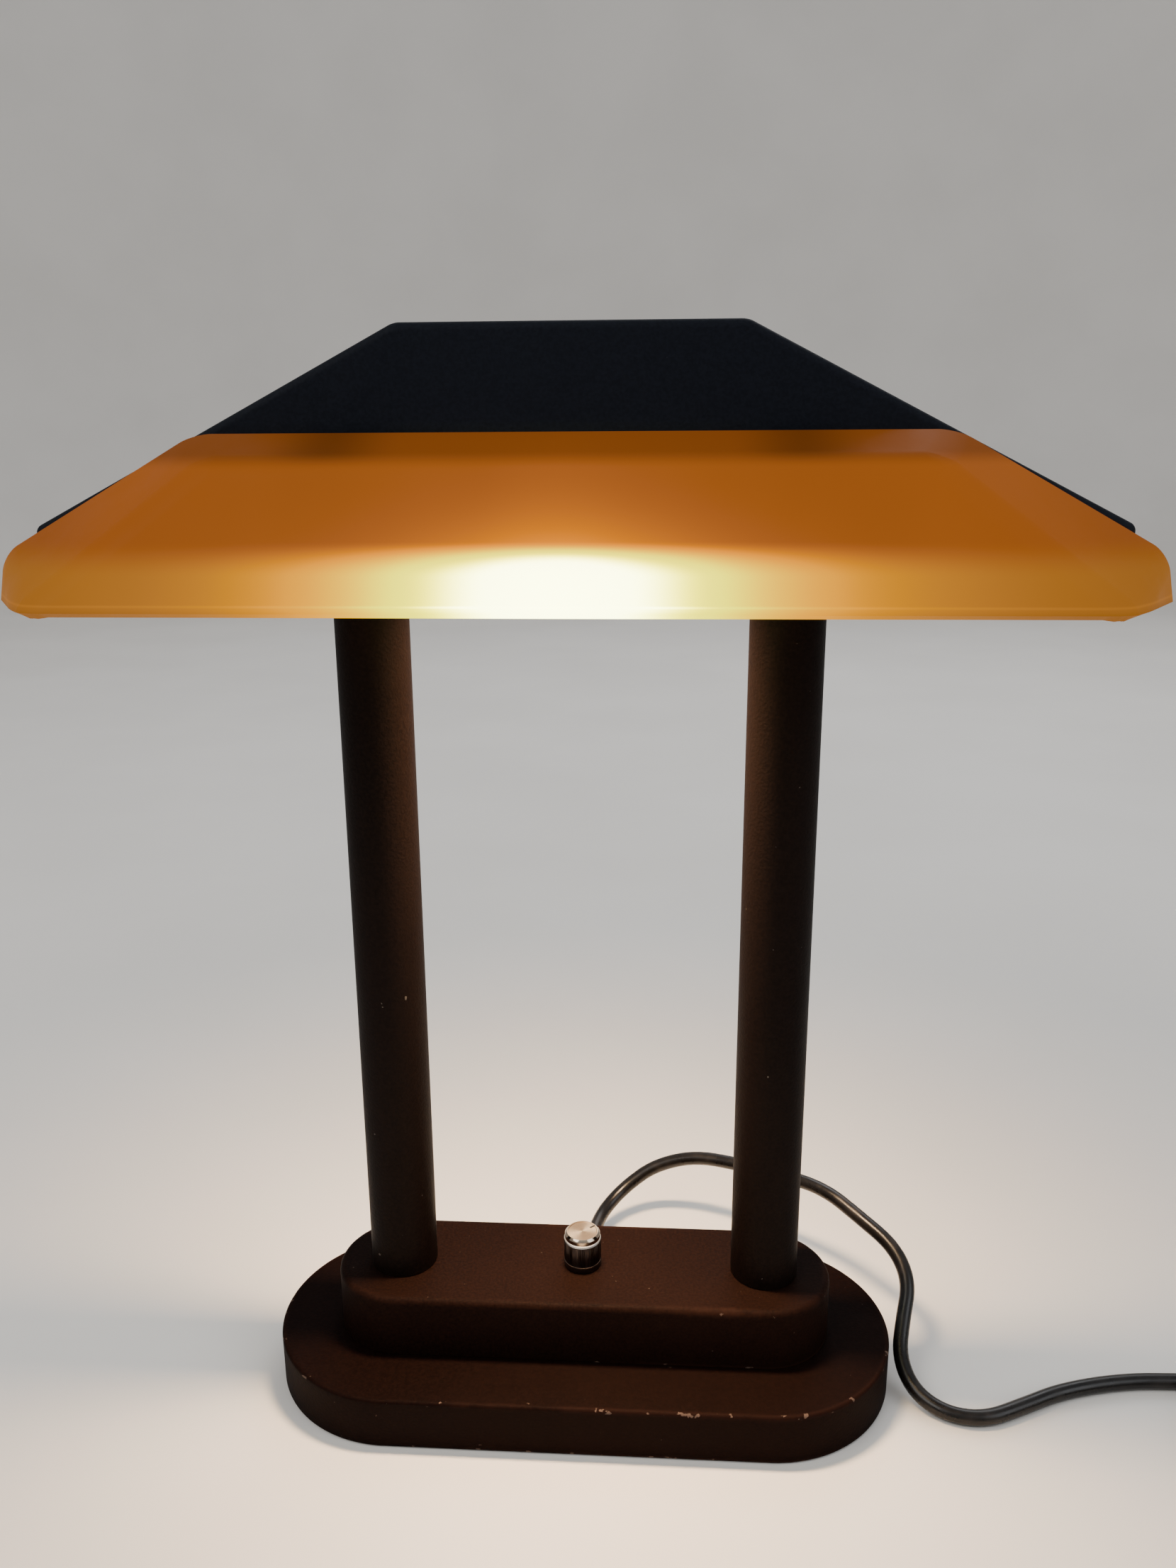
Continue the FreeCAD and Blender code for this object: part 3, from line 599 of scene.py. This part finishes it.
# The shade's glass: a front that leans in, a band over it, sloping bands and turned ends, softly folded.
glassSettings = dict(
    back=0.040, front=0.080, low=0.3632, top=0.4223, shoulderY=0.0605, shoulder=0.4124, thickness=0.0045,
    topCorner=(0.1344, 0.4223), slopePoint=(0.1787, 0.3976), endFoot=(0.2135, 0.3632), flare=33.0,
    endLean=0.2, fold=0.0062, spareBack=0.02, spareBelow=0.04,  # the spares are cut off again
)
glowSettings = dict(
    strength=8.0, base=(0.045, 0.013, 0.0007),
    # the lamp's beam: its middle in metres, the rest in millimetres, and how bright its centre is
    middle=-0.001, waist=25.0, reach=23.0, centre=20.0, cutOff=381.7, soft=(5.0, -7.0),
    haloShare=0.07, haloFall=9.0,
    # the even haze, and what it gains below the hood's edge and near the middle, and loses at the ends
    haze=0.30, hazeBelow=0.06, hazeNear=0.05, nearFall=0.012, hazeEnds=0.05, ends=(150, 205),
    # the dimmer band over the shoulder with the hangers' shade, the ground line and the rim
    bandDim=0.46, bandEdge=(-2.5, 3.5), hangerDim=0.24, hangerAt=82, hangerHalf=26,
    groundLine=0.22, groundAt=2.3, groundHalf=0.7, rimDim=0.12, rimDeep=1.6,
    # how the colour follows the light: red levels off, then rises once more where the light is hottest, and
    # green and blue are shares of red
    redFull=1.3, redHot=6.5, green=0.272, greenBelow=0.10, blue=0.045,
)


def glassPlanes(s):
    flare = math.tan(math.radians(s["flare"]))
    (cornerX, cornerZ), (slopeX, slopeZ), (footX, footZ) = s["topCorner"], s["slopePoint"], s["endFoot"]
    backY, frontY, shoulderY = postY - s["back"], postY - s["front"], postY - s["shoulderY"]
    slant = Vector((cornerZ - slopeZ, 0, slopeX - cornerX)).normalized()
    planes = [((0, frontY, s["low"]), (0, s["low"] - s["shoulder"], shoulderY - frontY)),
              ((0, backY, s["top"]), (0, s["shoulder"] - s["top"], backY - shoulderY)),
              ((0, backY + s["spareBack"], 0), (0, 1, 0)), ((0, 0, s["low"] - s["spareBelow"]), (0, 0, -1))]
    for side in (1, -1):
        planes.append(((side * cornerX, backY, cornerZ), (side * slant.x, -flare, slant.z)))
        planes.append(((side * footX, backY, footZ), (side, -flare, s["endLean"])))
    return [(Vector(point), Vector(normal).normalized()) for point, normal in planes]


# How much light comes through each place: a faint even haze, and the lamp's beam round the middle.
def glassLight(p, s, g):
    x, z = (p.x - g["middle"]) * 1000, p.z * 1000  # millimetres from here on
    low, shoulder = s["low"] * 1000, s["shoulder"] * 1000
    off = x.calc("ABSOLUTE")
    spread = (x * x + g["waist"] ** 2) ** 0.5 - g["waist"]
    beam = g["centre"] * (spread * (-1 / g["reach"])).calc("EXPONENT")
    over = z - g["cutOff"]
    below = over.step(*g["soft"])
    halo = (over.calc("MAXIMUM") * (-1 / g["haloFall"])).calc("EXPONENT")
    near = (off * -g["nearFall"]).calc("EXPONENT")
    haze = g["haze"] + g["hazeBelow"] * below + g["hazeNear"] * near - g["hazeEnds"] * off.step(*g["ends"])
    cloudy = p.noise(14.0, 2.0, (1, 1, 0.3)).line(0.3, 0.7, 0.95, 1.05)
    light = (haze + beam * (below * (1 - g["haloShare"]) + halo * g["haloShare"])) * cloudy
    band = z.step(*(shoulder + edge for edge in g["bandEdge"]))
    hangers = off.band(g["hangerAt"], g["hangerHalf"])
    light = light * (1 - band * (g["bandDim"] + g["hangerDim"] * hangers))
    ground = z.band(low + g["groundAt"], g["groundHalf"])
    rim = z.step(low + g["rimDeep"], low)
    return light * (1 + g["groundLine"] * ground - g["rimDim"] * rim), below


# Frosted amber glass with the light of the short lamp coming through it.
def glassPaint(s, g):
    p = Paint("amberGlassLit", g["base"], 0.5, {
        "Specular IOR Level": 0.02, "Emission Strength": g["strength"]})
    light, below = glassLight(p, s, g)
    levelled = light.calc("MINIMUM", g["redFull"] * (light / g["redFull"]) ** 0.5)
    red = levelled + g["redHot"] * light.step(5.0, 13.0)
    yellower = g["greenBelow"] * below + 0.07 * light.step(0.9, 2.2)
    yellower = yellower + 0.47 * light.step(1.4, 5.0) + 0.12 * light.step(6.0, 13.0)
    green = red * (g["green"] + yellower)
    blue = red * (g["blue"] - 0.044 * light.step(0.35, 0.9) + 0.42 * light.step(6.0, 14.0))
    scale = 1 / g["strength"]
    glow = {k: part * scale for k, part in enumerate((red, green, blue))}
    p.feed("Emission Color", p.node("ShaderNodeCombineColor", {}, glow))
    p.feed("Roughness", p.noise(60.0, 4.0).line(0.3, 0.7, 0.38, 0.5))
    p.bump(p.noise(700.0, 2.0), 0.08, 0.0002)
    return p.material


def amberGlass(s):
    bm = cutBlock(glassPlanes(s))
    backY = postY - s["back"]
    folds = [e for e in bm.edges if min(v.co.y for v in e.verts) < backY - 0.001
             and highest(e) > s["low"] - s["spareBelow"] / 2]
    bevelled(bm, folds, s["fold"], 12)
    openAt(bm, (0, backY, 0), (0, 1, 0))
    openAt(bm, (0, 0, s["low"]), (0, 0, -1))
    paint = glassPaint(s, glowSettings)
    made = piece("amberGlassPane", bm, "glass", paint, ["amber_glass"], 40)
    thicken(made, s["thickness"])
    ease = made.modifiers.new("ease", "BEVEL")
    ease.width = 0.0009
    ease.segments = 3
    ease.limit_method = "ANGLE"
    ease.angle_limit = math.radians(60)
    made.modifiers.new("weld", "WELD").merge_threshold = 0.00002  # the ease leaves slivers where it is narrow
    evenShading(made)


amberGlass(glassSettings)
print("glass done")

knobSettings = dict(radius=0.0085, bore=0.0072, capBore=0.0055, cap=0.0081, low=0.0534, hollow=0.004,
                    foot=0.0030, bead=0.0011, shoulder=0.0676, top=0.0703, lip=0.0009, dish=0.0002,
                    grooves=72, grooveDepth=0.00024, beads=60, beadDepth=0.00012, steps=128)


# Upright knurling between a plain foot and a thin milled bead.
def knobSkirt(s):
    r, low, top, foot = s["radius"], s["low"], s["shoulder"], s["low"] + s["foot"]
    bead, inside = top - s["bead"], s["low"] + s["hollow"]
    outline = [(s["bore"], inside), (s["bore"], low), (r - 0.0003, low), (r, low + 0.0003),
               (r, foot - 0.0002), (r - 0.00025, foot), (r - 0.00002, foot + 0.0003),
               (r - 0.00002, bead - 0.0003), (r - 0.0004, bead), (r - 0.0001, bead + 0.0002),
               (r, bead + 0.0005), (r - 0.0001, bead + 0.0008), (r - 0.0006, top),
               (s["capBore"], top), (s["capBore"], inside)]
    bm = turned(outline, s["grooves"] * 4)
    for v in bm.verts:
        out = math.hypot(v.co.x, v.co.y)
        if out < r - 0.0005 or v.co.z < foot - 0.00005:
            continue
        knurled = v.co.z < bead - 0.0001
        count, depth = (s["grooves"], s["grooveDepth"]) if knurled else (s["beads"], s["beadDepth"])
        cut = depth * (0.5 - 0.5 * math.cos(count * math.atan2(v.co.y, v.co.x)))
        v.co.x *= (out - cut) / out
        v.co.y *= (out - cut) / out
    settle(bm, (0, postY, 0))
    piece("knobSkirtPiece", bm, "knob", knurledMetal(foot, bead), ["knob_skirt"], 45)


# Chrome with a painted dark reflection streaked up the knurling and painted shade on the plain foot, and its
# own bright colour on the bead.
def knurledMetal(foot, bead):
    p = Paint("knurledChrome", (0.4, 0.38, 0.36), 0.24, {"Metallic": 1.0})
    upright = p.noise(260.0, 3.0, (1, 1, 0.15))
    onKnurls = 1 - p.z.step(bead - 0.0003, bead)
    shadedFootMask = 1 - p.z.step(foot - 0.0002, foot)
    # painted dark reflection on the knurling, in upright streaks
    knurlDarkReflection = p.mix(upright.step(0.35, 0.65), (0.042, 0.029, 0.024), (0.10, 0.072, 0.060))
    steel = p.mix(onKnurls, (0.86, 0.82, 0.76), knurlDarkReflection)
    # painted shade on the plain foot
    p.feed("Base Color", p.mix(shadedFootMask, steel, (0.07, 0.050, 0.042)))
    p.feed("Roughness", upright.line(0.3, 0.7, 0.36, 0.5))
    return p.material


# A turned face: fine rings, a painted warm sheen in wedges round the middle, and a polished rim.
def spunMetal(name, s):
    p = Paint(name, (0.80, 0.74, 0.66), 0.24, {"Metallic": 1.0})
    y = p.y - postY
    out = (p.x * p.x + y * y) ** 0.5
    angle = y.calc("ARCTAN2", p.x)
    paintedSheen = (angle * 2 - 1.1).calc("COSINE") * 0.5 + 0.5
    rings = p.node("ShaderNodeTexNoise", {"noise_dimensions": "1D"}, {
        "Scale": 9000.0, "Detail": 2.0, "W": out})
    edge = s["cap"] - s["lip"]
    rim = out.step(edge - 0.0001, edge)
    # the face's colour carries a painted warm sheen and reflection in wedges, with the turned rings
    face = p.mix(paintedSheen ** 2 * 0.8 + rings * 0.2, (0.24, 0.14, 0.07), (0.80, 0.54, 0.30))
    p.feed("Base Color", p.mix(rim, face, (0.44, 0.36, 0.28)))
    p.feed("Roughness", rings.line(0.3, 0.7, 0.22, 0.36) * (1 - 0.6 * rim))
    p.bump(rings * (1 - rim), 0.25, 0.00005)
    return p.material


def knobCap(s):
    cap, top, lip, seat = s["cap"], s["top"], s["lip"], s["shoulder"] - 0.0004
    face = top - s["dish"]
    outline = [(0.0, seat), (cap - 0.0003, seat), (cap, seat + 0.0003), (cap, top - lip - 0.0002),
               (cap - 0.0001, top - lip), (cap - lip + 0.0001, top - 0.0001), (cap - lip, top),
               (cap - lip - 0.0006, top), (cap - lip - 0.0008, face), (0.0, face)]
    bm = settle(turned(outline, s["steps"]), (0, postY, 0))
    piece("knobCapPiece", bm, "knob", spunMetal("spunChrome", s), ["knob_cap"], 20)


knobSkirt(knobSettings)
knobCap(knobSettings)
print("knob done")


# Clear quartz, glowing warm along its length.
def quartz():
    p = Paint("quartz", (0.95, 0.95, 0.93), 0.06, {
        "Transmission Weight": 0.9, "IOR": 1.45, "Emission Strength": 5.0})
    cloud = p.noise(80.0, 3.0)
    p.feed("Emission Color", p.mix(cloud, (1.0, 0.72, 0.36), (1.0, 0.80, 0.48)))
    p.feed("Roughness", cloud.line(0.3, 0.7, 0.04, 0.12))
    return p.material


def tungsten():
    p = Paint("tungsten", (0.8, 0.7, 0.5), 0.4, {"Emission Strength": 30.0})
    wound = p.x * 6000
    p.feed("Emission Color", p.mix(wound.calc("SINE") * 0.5 + 0.5, (1.0, 0.62, 0.25), (1.0, 0.86, 0.6)))
    return p.material


# The parts that are shown as they were designed, by finish.
finishes = (
    (evenFinish("zincPlate", (0.58, 0.57, 0.54), 0.34, 1.0, 80.0, (1, 1, 1), 0.25, 0.1),
     ["cover_plate", "cover_screws", "tie_tubes", "tie_washers", "tie_nuts", "crossbar", "hood_screws",
      "glass_hangers", "holder_screws", "dimmer_washer", "dimmer_nut", "knob_grub_screw"]),
    (evenFinish("turnedAluminium", (0.76, 0.76, 0.75), 0.3, 1.0, 200.0), ["dimmer_shaft"]),
    (evenFinish("brass", (0.72, 0.52, 0.22), 0.3, 1.0, 90.0),
     ["lamp_contacts", "dimmer_bush", "terminal_screws"]),
    (evenFinish("castIron", (0.09, 0.09, 0.09), 0.75, 0.4, 45.0, (1, 1, 1), 0.4, 0.6), ["ballast"]),
    (evenFinish("steatite", (0.82, 0.79, 0.72), 0.62, 0.0, 120.0, (1, 1, 1), 0.12, 0.2),
     ["left_lampholder", "right_lampholder", "lamp_caps"]),
    (evenFinish("mouldedBlack", (0.022, 0.022, 0.022), 0.5, 0.0, 150.0),
     ["post_spigots", "dimmer_body", "cord_clamp", "cord_clamp_seat"]),
    (evenFinish("clearNylon", (0.72, 0.71, 0.66), 0.35, 0.0, 80.0), ["terminal_block"]),
    (evenFinish("glassFibre", (0.66, 0.62, 0.54), 0.8, 0.0, 260.0, (1, 1, 1), 0.3, 0.6),
     ["lamp_leads", "dimmer_leads"]),
    (evenFinish("whiteEnamel", (0.84, 0.84, 0.81), 0.22, 0.0, 50.0, (1, 1, 1), 0.06, 0.05), ["reflector"]),
    (evenFinish("felt", (0.012, 0.016, 0.014), 0.95, 0.0, 500.0, (1, 1, 1), 0.5, 0.8), ["felt_pad"]),
    (evenFinish("pointerInk", (0.012, 0.012, 0.012), 0.5, 0.0, 400.0), ["knob_pointer"]),
    (rubber("softRubber", 0.6), ["glass_bumpers"]),
    (cordRubber, ["cord_inside"]),
    # the rails take the hood's coat, with its painted blue sky reflection
    (powderCoat("railCoat", hoodCoatSkyReflection), ["glass_rails"]),
    (quartz(), ["lamp_tube"]),
    (tungsten(), ["filament"]),
)
for material, nodes in finishes:
    for node in nodes:
        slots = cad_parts[node].data.materials
        slots.clear()
        slots.append(material)
print("finishes done")

roomSettings = dict(flat=3.3, bend=1.0, bendSteps=12, height=3.0, steps=96,
                    sky=(0.90, 0.91, 0.93), skyStrength=0.62)
middle = (0, 0, 0.2)
lights = dict(
    key=dict(place=(-1.3, -1.2, 1.9), target=middle, size=(1.3, 1.3), power=24.0, colour=(1.0, 0.97, 0.93)),
    fill=dict(place=(1.6, -0.9, 1.3), target=middle, size=(1.2, 1.2), power=12.0, colour=(0.93, 0.96, 1.0)),
    back=dict(place=(0.5, 2.0, 1.9), target=middle, size=(1.6, 1.2), power=20.0, colour=(0.97, 0.98, 1.0)),
    lampDown=dict(place=(0, postY, 0.3835), target=(0, postY, 0), size=(0.09, 0.03), power=1.9,
                  colour=(1.0, 0.66, 0.38), spread=110),
)


# A pale round floor that curves up into a wall far behind on every side.
def tableTop(s):
    outline = [(0, 0)]
    for k in range(s["bendSteps"] + 1):
        a = math.pi / 2 * k / s["bendSteps"]
        outline.append((s["flat"] + s["bend"] * math.sin(a), s["bend"] * (1 - math.cos(a))))
    outline.append((s["flat"] + s["bend"], s["height"]))
    bm = turned(outline, s["steps"])
    if bm.faces[0].normal.z < 0:
        bmesh.ops.reverse_faces(bm, faces=bm.faces)
    p = Paint("paleTable", (0.76, 0.74, 0.71), 0.7)
    p.feed("Base Color", p.mix(p.noise(3.0, 4.0).step(0.3, 0.7), (0.74, 0.72, 0.69), (0.78, 0.76, 0.73)))
    smoothObject("tableTop", bm, p.material)


def areaLight(name, place, target, size, power, colour, spread=180):
    data = bpy.data.lights.new(name, "AREA")
    data.shape = "RECTANGLE"
    data.size, data.size_y = size
    data.energy = power
    data.color = colour
    data.spread = math.radians(spread)
    lamp = addObject(name, data)
    lamp.location = place
    lamp.rotation_mode = "QUATERNION"
    lamp.rotation_quaternion = (Vector(target) - Vector(place)).to_track_quat("-Z", "Y")


def skyLight(s):
    world = bpy.data.worlds.new("room")
    bpy.context.scene.world = world
    world.use_nodes = True
    sky = world.node_tree.nodes["Background"].inputs
    sky["Color"].default_value = (*s["sky"], 1)
    sky["Strength"].default_value = s["skyStrength"]


tableTop(roomSettings)
for name, values in lights.items():
    areaLight(name, **values)
skyLight(roomSettings)
print("stage done")
